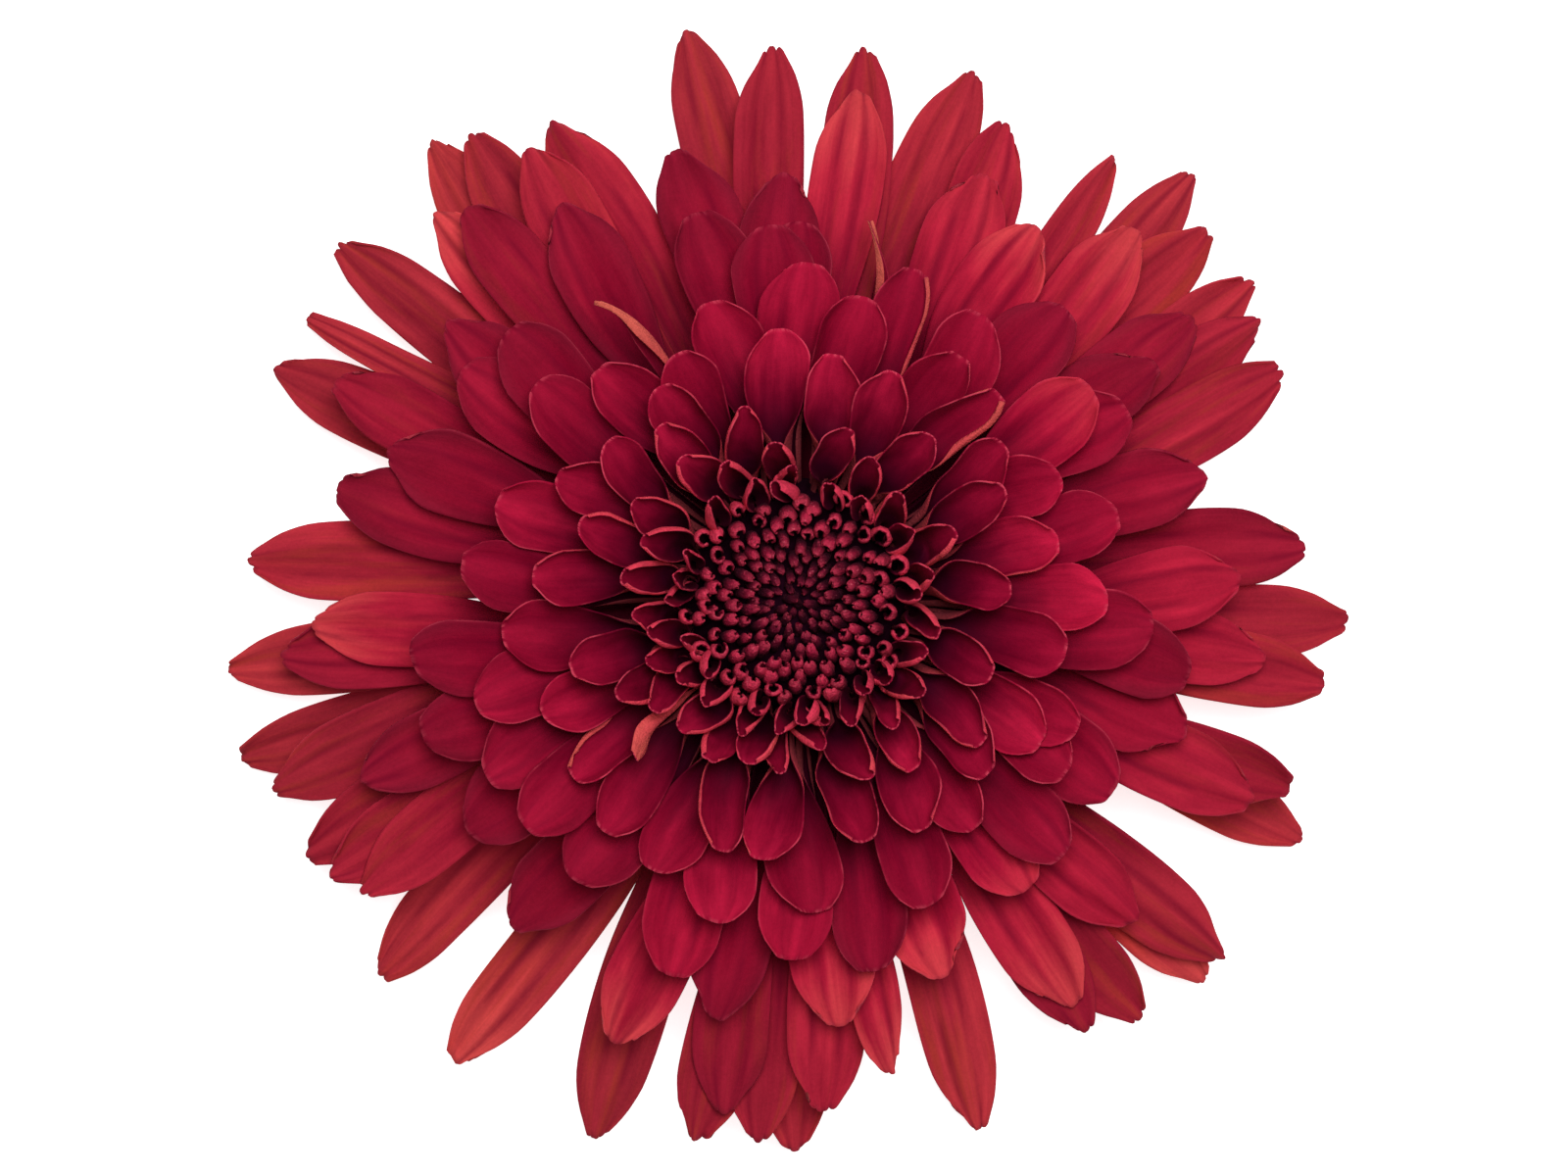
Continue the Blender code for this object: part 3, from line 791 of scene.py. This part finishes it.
petalReverse = {
    # by age the reverse turns coral on the cups, then near black towards the heart: partly the youngest
    # florets' own deep crimson, partly painted shade of the deep pit
    "ages": (
        (0.0, (0.34, 0.028, 0.040)),
        (0.22, (0.38, 0.026, 0.046)),
        (0.44, (0.76, 0.054, 0.086)),
        (0.60, (0.78, 0.044, 0.096)),
        (0.70, (0.54, 0.015, 0.060)),
        (0.80, (0.38, 0.009, 0.045)),
        (0.88, (0.18, 0.0038, 0.026)),
        (1.0, (0.035, 0.0008, 0.007)),
    ),
    "claw": (0.165, 0.021, 0.027),
    # painted shade down the sides of the young florets
    "youngSideShade": (0.015, 0.0010, 0.0060),
    "pale": (0.68, 0.125, 0.085),
    # painted highlight on the young florets' tips
    "youngTipHighlight": (0.66, 0.055, 0.105),
    # the colour of painted glints on the young florets' tips
    "glintColour": (0.85, 0.17, 0.23),
    "streaks": {"fine": (3.5, 30.0), "broad": (2.0, 6.0)},
    "mottle": 2200.0,
    "grain": 6000.0,
    "paintedGlints": 6500.0,
    "bump": (0.9, 0.00018),
    "roughness": (0.5, 0.25),
}


def petalReverseMaterial(look):
    material, shader, signal = startMaterial("petal reverse")
    u, v, age, chance = petalPlaces(signal)
    fine = streaks(u, v, chance, *look["streaks"]["fine"])
    broad = streaks(u, v, chance, *look["streaks"]["broad"])
    place = objectPlace(signal)
    mottle = place.noise(look["mottle"], 3.0, 0.65)
    grain = place.noise(look["grain"], 3.0)
    young = age.ramp(0.60, 0.66)
    notHeart = 1 - age.ramp(0.85, 1.0)
    colour = age.node("ShaderNodeValToRGB", {"stops": look["ages"]}, {"Fac": age})
    paleness = broad.ramp(0.45, 0.75) * (1 - age.ramp(0.50, 0.66)) * 0.42
    paleness = paleness + chance.ramp(1.05, 1.6) * (u.ramp(0.72, 0.95) * 0.45 + 0.45)
    colour = paleness.atMost(0.95).paint(colour, look["pale"])
    tone = (fine - 0.5) * 0.6 + (mottle - 0.5) * (young * 1.6 + 0.7) + 0.95
    colour = (tone + (chance - 0.45) * young * 0.7).tint(colour)
    # Darker low down: the brownish claws of the older rays, and on the young florets painted shade down
    # their sides below the lit caps.
    claw = (1 - (u - young * 0.31).ramp(0.36, 0.76)) * (1 - chance.ramp(1.0, 1.5) * 0.85)
    clawAndShadeColour = young.paint(look["claw"], look["youngSideShade"])
    colour = claw.paint(colour, clawAndShadeColour)
    # A painted highlight on the tips of the young florets, in spots.
    youngTipHighlight = u.ramp(0.86, 1.0) + mottle.ramp(0.58, 0.72) * u.ramp(0.5, 0.8)
    colour = (young * youngTipHighlight * notHeart * 0.4).paint(colour, look["youngTipHighlight"])
    # Painted glints: small light specks on the tips of the young florets.
    paintedGlints = place.noise(look["paintedGlints"], 3.0, 0.6).ramp(0.58, 0.72)
    paintedGlints = paintedGlints * u.ramp(0.70, 0.95) * young * notHeart
    colour = (paintedGlints * 0.6).paint(colour, look["glintColour"])
    base, grainy = look["roughness"]
    signal.fill(shader, {
        "Base Color": colour, "Roughness": base + grain * grainy,
        "Normal": (fine * 0.4 + grain + mottle * young * 2.5).bump(*look["bump"]),
        "Specular IOR Level": 0.06, "Sheen Weight": 0.06, "Sheen Roughness": 0.4,
        "Sheen Tint": (1.0, 0.15, 0.28, 1),
    })
    return material


faceMaterial = petalFaceMaterial(petalFace)
reverseMaterial = petalReverseMaterial(petalReverse)
print("petal materials made")


# Inner rays: broad crimson spoons that turn to rolled cups towards the eye

innerRays = {
    "rows": 28,
    "stations": (0.13, 0.26, 0.38, 0.50, 0.65, 0.80, 0.92, 1.0),
    "bunched": 0.35,
    "thickness": 0.10,
    "seed": 500,
    "archLength": 3,
    "opens": ((0.22, 0.30), (0.60, 0.24)),
    "lateOrders": (60, 185),
    "looseOrders": (110, 185),
    "notch": (0.0, 0.4),
    "point": (-0.1, 0.4),
    "toothWidth": 0.12,
    "pointWidth": 0.2,
    "endRound": 0.42,
    "roundness": 2.3,
    "uneven": 0.8,
    "furrow": 0.09,
    "furrowSpread": (0.5, 1.3),
    "furrowAt": 0.38,
    "furrowWidth": 0.14,
    "wave": (0.05, 0.22),
    "waves": (1.2, 2.4),
    "unevenness": 0.3,
    "widthSpread": (0.94, 1.05),
    "cupSpread": (0.85, 1.15),
    "looseFold": 14,
    "mostRolled": 270,
    "sway": 12,
    "curlSpread": (0.6, 1.8),
    "lipSpread": (0.4, 1.2),
    "stripTip": 0.94,
    "shadeSpread": 0.1,
}
cups = innerRays | {
    "rows": 34,
    "stations": (0.12, 0.24, 0.36, 0.46, 0.56, 0.66, 0.76, 0.85, 0.93, 1.0),
    "endRound": 0.5,
    "wave": (0.04, 0.14),
    "mostRolled": 162,
}


def makeRays(name, orders, values):
    bm = newPetals()
    addRays(bm, orders, values)
    return pieceFrom(bm, name, (faceMaterial, reverseMaterial), values["thickness"])


spoonCount = sum(len(layer) for layer in layers)
for piece in (
    makeRays("cups", range(plan["openedCount"] - 1, spoonCount - 1, -1), cups),
    makeRays("innerRays", range(spoonCount - 1, plan["outerCount"] - 1, -1), innerRays),
):
    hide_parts("inner_rays")
print("inner rays made")


# Outer rays: the long scarlet rays of the rim and of the second layer

outerRays = innerRays | {
    "rows": 34,
    "bunched": 0.40,
    "thickness": 0.16,
    "notch": (0.0, 0.42),
    "endRound": 1.0,
    "furrow": 0.08,
    "wave": (0.05, 0.30),
    "unevenness": 0.7,
}

piece = makeRays("outerRays", range(plan["outerCount"] - 1, -1, -1), outerRays)
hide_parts("outer_rays")
print("outer rays made")


# Young florets of the eye, still rolled to open tubes, hoods and closed beads. They stand on a
# spiral of their own, clear of the cups, and change with their distance from the flower's axis.

youngFlorets = {
    "seed": 700,
    "count": 162,
    "farthest": 7.6,
    "numberAt": (0, 5, 15, 25, 40, 60, 80, 100, 115, 130, 146, 162),
    "reachOf": (0.2, 1.05, 1.8, 2.35, 2.95, 4.0, 4.8, 5.5, 6.15, 6.8, 7.6, 8.3),
    "closeness": 0.98,
    "mouths": (0.5, 1.3),
    "mouthRadius": 0.7,
    "rounds": 14,
    "outermost": 8.4,
    "reachAt": (0, 1.5, 3.3, 5.3, 7.0, 9.0),
    "rootOut": (0.3, 0.7, 0.7, 0.2, -0.4, -1.0),
    "rootHeight": (16.0, 16.3, 16.7, 16.8, 16.5, 15.8),
    "height": (17.8, 18.4, 19.6, 20.5, 20.8, 20.7),
    "halfWidth": (0.14, 0.20, 0.27, 0.37, 0.48, 0.66),
    "hook": (44, 52, 56, 54, 48, 44),
    "mouth": (0, 5, 10, 22, 36, 52),
    "openUntil": (0, 0, 0, 0.05, 0.45, 1),
    "hoodedUntil": (0, 0.05, 0.30, 0.65, 0.90, 1),
    "rows": 14,
    "bunched": 0.5,
    "thickness": 0.14,
    "stations": (0.16, 0.34, 0.52, 0.70, 0.86, 1.0),
    "widthAt": (0, 0.3, 0.6, 0.82, 0.94, 1),
    "open": {"widths": (0.45, 0.56, 0.80, 1.0, 1.0, 0.70), "hook": (0.1, 0.6), "slant": (0.10, 0.26)},
    "hooded": {"widths": (0.50, 0.66, 0.90, 0.98, 0.86, 0.52), "hook": (0.5, 0.95), "slant": (0.16, 0.34)},
    "shut": {"widths": (0.55, 0.72, 0.92, 0.90, 0.66, 0.22), "hook": (0.7, 1.2), "slant": (0.0, 0.12)},
    "hookStart": 0.5,
    "sideSpread": 0.24,
    "reachSpread": 0.2,
    "heightSpread": 0.5,
    "stoutness": (0.70, 1.18),
    "gape": (0.4, 1.2),
    "cup": 172,
    "roll": 75,
    "flatness": (0.62, 1.05),
    "bumps": (0.08, 0.17),
    "lip": 0.25,
    "ages": 0.37,
}


def placeYoung(values):  # on a spiral, then pushed clear of one another and of the cups' mouths
    mouths = [
        (radialFrame(math.radians(clock))[0] * (reach - inwards), values["mouthRadius"])
        for clock, reach, *_ in cupLayer for inwards in values["mouths"]
    ]
    young = []
    for number in range(values["count"]):
        reach = along(number, values["numberAt"], values["reachOf"])
        radius = along(reach, values["reachAt"], values["halfWidth"]) * values["closeness"]
        young.append((radialFrame(math.radians(number * plan["goldenTurn"]))[0] * reach, radius))
    for _ in range(values["rounds"]):
        for number, (spot, radius) in enumerate(young):
            for other, otherRadius in young[:number] + young[number + 1:] + mouths:
                gap = spot - other
                overlap = radius + otherRadius - gap.length
                if overlap > 0:
                    spot += gap.normalized() * overlap * 0.5
    return [(math.atan2(spot.x, spot.y), spot.length) for spot, _ in young]


def addYoungFloret(bm, number, clock, reach, values):
    draw = random.Random(values["seed"] + number)

    def at(name):
        return along(reach, values["reachAt"], values[name])

    clock += draw.uniform(-1, 1) * values["sideSpread"] / (reach + 1)
    outward, across = radialFrame(clock)
    stout = at("halfWidth") * draw.uniform(*values["stoutness"])
    tipReach = reach + values["reachSpread"] * draw.uniform(-1, 1)
    tipHeight = at("height") + values["heightSpread"] * draw.uniform(-1, 1)
    rootReach, rootHeight = reach + at("rootOut"), at("rootHeight")
    lean = math.atan2(tipHeight - rootHeight, tipReach - rootReach)
    stage = draw.random()
    kind = "open" if stage < at("openUntil") else "hooded" if stage < at("hoodedUntil") else "shut"
    shape = values[kind]
    hook = math.radians(at("hook") * draw.uniform(*shape["hook"]))
    mouth = math.radians(at("mouth") * draw.uniform(*values["gape"]))
    slant = draw.uniform(*shape["slant"])
    roll = math.radians(draw.uniform(-values["roll"], values["roll"]))
    flatness = draw.uniform(*values["flatness"])
    bumps = draw.uniform(*values["bumps"])
    spot = noiseSpot(draw)
    alongs, acrosses = sheetSpots(values["rows"], values["stations"], values["bunched"])
    path = [(0.0, 0.0, lean)]
    for start, end in zip(alongs, alongs[1:]):
        heading = lean + hook * ease((start + end) / 2, values["hookStart"], 1.1)
        ending = lean + hook * ease(end, values["hookStart"], 1.1)
        shift, rise, _ = path[-1]
        step = end - start
        path.append((shift + math.cos(heading) * step, rise + math.sin(heading) * step, ending))
    length = (tipHeight - rootHeight - 0.5 * stout) / max(rise for _, rise, _ in path)
    points = []
    for u, (shift, rise, heading) in zip(alongs, path):
        width = stout * smoothAlong(u, values["widthAt"], shape["widths"])
        cup = math.radians(values["cup"]) - mouth * ease(u, 0.45, 0.8)
        section = crossSection(width * cup, cup, (0, 0), values["stations"])
        up = Vector((0, 0, math.cos(heading))) - outward * math.sin(heading)
        flat, up = turned(across, up, roll * ease(u, 0.3, 1))
        middle = outward * (rootReach + shift * length)
        middle += Vector((0, 0, rootHeight + rise * length))
        row = []
        for v in acrosses:
            aside, rise, tilt = section[v]
            normal = up * math.cos(tilt) - flat * math.sin(tilt)
            depth = bumps * noise.noise(Vector((u * 5, v * 3, 0)) + spot)
            depth += 0.5 * bumps * noise.noise(Vector((u * 15, v * 9, 4)) + spot)
            ragged = values["lip"] * noise.noise(Vector((0, v * 4, 9)) + spot)
            lower = Vector((0, 0, (ragged - slant * length * v * v) * ease(u, 0.5, 1)))
            rise = (rise - width) * flatness
            row.append(middle + lower + flat * aside + up * rise + normal * depth)
        points.append(row)
    age = 1 - values["ages"] * min(reach / values["farthest"], 1)
    addSheet(bm, alongs, acrosses, points, age, draw.random())


def makeYoungFlorets():
    bm = newPetals()
    for number, (clock, reach) in enumerate(placeYoung(youngFlorets)):
        if reach < youngFlorets["outermost"]:
            addYoungFloret(bm, number, clock, reach, youngFlorets)
    materials = (faceMaterial, reverseMaterial)
    piece = pieceFrom(bm, "youngFlorets", materials, youngFlorets["thickness"])
    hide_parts("young_florets")


makeYoungFlorets()
print("young florets made")


# The dome that all florets grow from, hidden but for dark gaps between them

dome = {
    "profile": (
        (0.02, 17.2), (3.0, 17.5), (5.2, 17.4), (7.0, 16.6), (8.5, 15.2), (8.6, 13.6),
        (7.2, 11.6), (8.0, 10.2), (7.8, 8.9), (6.6, 8.6), (6.3, 7.4),
    ),
    "steps": 40,
    # near black: painted shade, so that the dome reads as the dark gaps between the florets
    "colour": (0.011, 0.0010, 0.0055),
    "grain": 1800.0,
    "bump": (0.5, 0.0002),
}


def spunShell(profile, steps):  # from (radius, height) points, top down, about the flower's axis
    bm = bmesh.new()
    points = [bm.verts.new((radius, 0, height)) for radius, height in profile]
    edges = [bm.edges.new(pair) for pair in zip(points, points[1:])]
    bmesh.ops.spin(
        bm, geom=points + edges, axis=(0, 0, 1), cent=(0, 0, 0), angle=math.tau, steps=steps,
        use_merge=True,
    )
    bmesh.ops.remove_doubles(bm, verts=bm.verts[:], dist=0.03)
    bmesh.ops.holes_fill(bm, edges=bm.edges[:])
    bmesh.ops.recalc_face_normals(bm, faces=bm.faces[:])
    for face in bm.faces:
        face.smooth = True
    return bm


def makeDome():
    material, shader, signal = startMaterial("dome")
    grain = objectPlace(signal).noise(dome["grain"])
    # the dome's near-black colour is painted shade for the gaps between florets
    signal.fill(shader, {
        "Base Color": (grain * 1.2 + 0.4).tint(dome["colour"]), "Roughness": 0.9,
        "Normal": grain.bump(*dome["bump"]), "Specular IOR Level": 0.02,
    })
    piece = pieceFrom(spunShell(dome["profile"], dome["steps"]), "dome", (material,))


makeDome()
print("dome made")


# Stalk: the ribbed stub with its cut end, and the bracts that clasp the bloom

stalk = {
    "profile": (
        (0.05, 8.5), (6.2, 8.5), (6.6, 8.2), (6.35, 7.4), (5.2, 6.3), (4.3, 5.5), (3.5, 4.8),
        (2.9, 4.2), (2.45, 3.6), (2.3, 2.8), (2.28, 1.4), (2.3, 0.25), (2.12, 0.06), (1.6, 0.03),
        (1.5, 0.10), (0.05, 0.14),
    ),
    "steps": 96,
    "ribs": 10,
    "ribDepth": 0.13,
    "ribRadius": 1.9,
    "ribsFrom": (0.1, 0.5),
    "ribsUntil": (4.5, 7.5),
    "skin": (0.115, 0.200, 0.045),
    "groove": (0.060, 0.115, 0.025),
    "flush": (0.120, 0.055, 0.030),
    "pith": (0.46, 0.48, 0.30),
    "speckle": 2600.0,
    "bump": (0.5, 0.00015),
}
bracts = {
    "whorls": (
        {"root": (3.6, 5.6), "tip": (9.4, 6.6), "halfWidth": 1.5, "turn": 0},
        {"root": (5.2, 7.2), "tip": (12.2, 7.9), "halfWidth": 1.8, "turn": 14},
        {"root": (6.0, 8.3), "tip": (16.6, 8.9), "halfWidth": 2.7, "turn": 31},
    ),
    "seed": 900,
    "count": 15,
    "clockSpread": (-3, 3),
    "reachSpread": (-0.5, 0),
    "rows": 16,
    "stations": (0.1, 0.3, 0.55, 0.8, 1.0),
    "cup": 20,
    "thickness": 0.22,
    "outlineAt": (0, 0.5, 0.8, 1),
    "outline": (0.62, 1.0, 0.68, 0.12),
    "keel": 0.16,
    "keelWidth": 0.2,
    "waviness": 0.12,
    "green": (0.105, 0.180, 0.045),
    "margin": (0.30, 0.235, 0.130),
    "speckle": 3200.0,
    "streaks": (3.0, 26.0),
    "bump": (0.5, 0.00012),
}


def stalkMaterial(look):
    material, shader, signal = startMaterial("stalk")
    place = objectPlace(signal)
    axis = [value * mm for value in plan["axis"]]
    centred = signal.node(
        "ShaderNodeVectorMath", {"operation": "SUBTRACT"}, {0: place, 1: (*axis, 0)}
    )
    x, y, z = (
        signal.node("ShaderNodeSeparateXYZ", {}, {"Vector": centred}, output) for output in range(3)
    )
    rib = signal.sum("COSINE", signal.sum("ARCTAN2", y, x) * look["ribs"]) * 0.5 + 0.5
    radius = (x * x + y * y) ** 0.5
    speckle = place.noise(look["speckle"])
    drawnOut = (look["speckle"], look["speckle"], look["speckle"] / 10)
    lines = signal.node(
        "ShaderNodeVectorMath", {"operation": "MULTIPLY"}, {0: centred, 1: drawnOut}
    ).noise(1.0)
    colour = (rib * 0.8).paint(look["groove"], look["skin"])
    colour = (lines.ramp(0.52, 0.8) * 0.6).paint(colour, look["flush"])
    colour = (speckle * 0.7 + 0.65).tint(colour)
    cut = (1 - z.ramp(0.00008, 0.0002)) * (1 - radius.ramp(0.0016, 0.0020))
    signal.fill(shader, {
        "Base Color": cut.paint(colour, look["pith"]), "Roughness": 0.5 + speckle * 0.2,
        "Normal": (lines + speckle * 0.4).bump(*look["bump"]),
        "Specular IOR Level": 0.3, "Sheen Weight": 0.15, "Sheen Roughness": 0.4,
    })
    return material


def bractMaterial(look):
    material, shader, signal = startMaterial("bract")
    u, v, _, chance = petalPlaces(signal)
    fine = streaks(u, v, chance, *look["streaks"])
    speckle = objectPlace(signal).noise(look["speckle"])
    dry = abs(v * 2 - 1).ramp(0.66, 0.92).orMore(u.ramp(0.86, 1.0))
    colour = (dry * (fine * 0.5 + 0.6)).paint(look["green"], look["margin"])
    colour = (fine * 0.7 + speckle * 0.4 + 0.4 + (chance - 0.5) * 0.2).tint(colour)
    signal.fill(shader, {
        "Base Color": colour, "Roughness": 0.55 + speckle * 0.2,
        "Normal": (fine + speckle * 0.4).bump(*look["bump"]),
        "Specular IOR Level": 0.3, "Sheen Weight": 0.2, "Sheen Roughness": 0.4,
    })
    return material


def makeStalk():
    bm = spunShell(stalk["profile"], stalk["steps"])
    for vert in bm.verts:
        x, y, z = vert.co
        radius = math.hypot(x, y)
        if radius > stalk["ribRadius"]:
            fade = ease(z, *stalk["ribsFrom"]) * (1 - ease(z, *stalk["ribsUntil"]))
            wave = math.cos(stalk["ribs"] * math.atan2(y, x)) * stalk["ribDepth"] * fade
            scale = (radius - stalk["ribDepth"] * fade + wave) / radius
            vert.co = (x * scale, y * scale, z)
    piece = pieceFrom(bm, "stalkSkin", (stalkMaterial(stalk),))
    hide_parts("stalk")


def addBract(bm, whorl, number, values):
    draw = random.Random(values["seed"] + 40 * whorl["turn"] + number)
    clock = 360 * number / values["count"] + whorl["turn"] + draw.uniform(*values["clockSpread"])
    outward, across = radialFrame(math.radians(clock))
    rootReach, rootHeight = whorl["root"]
    tipReach, tipHeight = whorl["tip"]
    tipReach += draw.uniform(*values["reachSpread"])
    spot = noiseSpot(draw)
    alongs, acrosses = sheetSpots(values["rows"], values["stations"])
    points = []
    for u in alongs:
        width = whorl["halfWidth"] * smoothAlong(u, values["outlineAt"], values["outline"])
        section = crossSection(width, math.radians(values["cup"]), (0, 0), values["stations"])
        reach = rootReach + (tipReach - rootReach) * u
        height = rootHeight + (tipHeight - rootHeight) * math.sin(math.pi / 2 * u)
        row = []
        for v in acrosses:
            aside, rise, _ = section[v]
            keel = -values["keel"] * bell(v, values["keelWidth"]) * (1 - u)
            wave = values["waviness"] * noise.noise(Vector((u * 3, v * 2, 0)) + spot)
            row.append(outward * reach + across * aside + Vector((0, 0, height + rise + keel + wave)))
        points.append(row)
    addSheet(bm, alongs, acrosses, points, 0.5, draw.random())


def makeBracts():
    bm = newPetals()
    for whorl in bracts["whorls"]:
        for number in range(bracts["count"]):
            addBract(bm, whorl, number, bracts)
    material = bractMaterial(bracts)
    piece = pieceFrom(bm, "bracts", (material, material), bracts["thickness"])
    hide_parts("stalk")


makeStalk()
makeBracts()
print("stalk and bracts made")


# Camera, light and floor

studio = {
    "cameraPlace": (-0.285, 0.135, 600.0),
    "frameWidth": 111.4,
    "frameHeight": 5.0,
    "sensor": 36.0,
    "clipStart": 0.01,
    "worldStrength": 0.22,
    "keyPlace": (0.08, 0.22, 0.95),
    "keySize": 0.5,
    "keyPower": 8.6,
    "floorSize": 4.0,
    "floorColour": (0.92, 0.92, 0.92),
    "floorGlow": 0.75,
}


def makeStudio():
    camera = addObject("camera", bpy.data.cameras.new("camera"))
    camera.location = [value * mm for value in studio["cameraPlace"]]
    camera.data.sensor_width = studio["sensor"]
    distance = studio["cameraPlace"][2] - studio["frameHeight"]
    camera.data.lens = studio["sensor"] * distance / studio["frameWidth"]
    camera.data.clip_start = studio["clipStart"]
    bpy.context.scene.camera = camera

    key = addObject("key light", bpy.data.lights.new("key light", "AREA"))
    key.location = studio["keyPlace"]
    key.rotation_euler = (-Vector(studio["keyPlace"])).to_track_quat("-Z", "Y").to_euler()
    key.data.shape = "DISK"
    key.data.size = studio["keySize"]
    key.data.energy = studio["keyPower"]

    world = bpy.data.worlds.new("studio")
    world.use_nodes = True
    sky = world.node_tree.nodes["Background"].inputs
    sky["Strength"].default_value = studio["worldStrength"]
    sky["Color"].default_value = (1, 1, 1, 1)
    bpy.context.scene.world = world

    bm = bmesh.new()
    bmesh.ops.create_grid(bm, x_segments=1, y_segments=1, size=studio["floorSize"] / 2)
    material, shader, signal = startMaterial("floor")
    signal.fill(shader, {
        "Base Color": studio["floorColour"] + (1,), "Roughness": 0.9, "Specular IOR Level": 0.1,
        "Emission Color": (1, 1, 1, 1), "Emission Strength": studio["floorGlow"],
    })
    floor = meshFrom(bm, "floor", (material,))
    bpy.context.scene.view_settings.view_transform = "Standard"


makeStudio()
print("studio made")
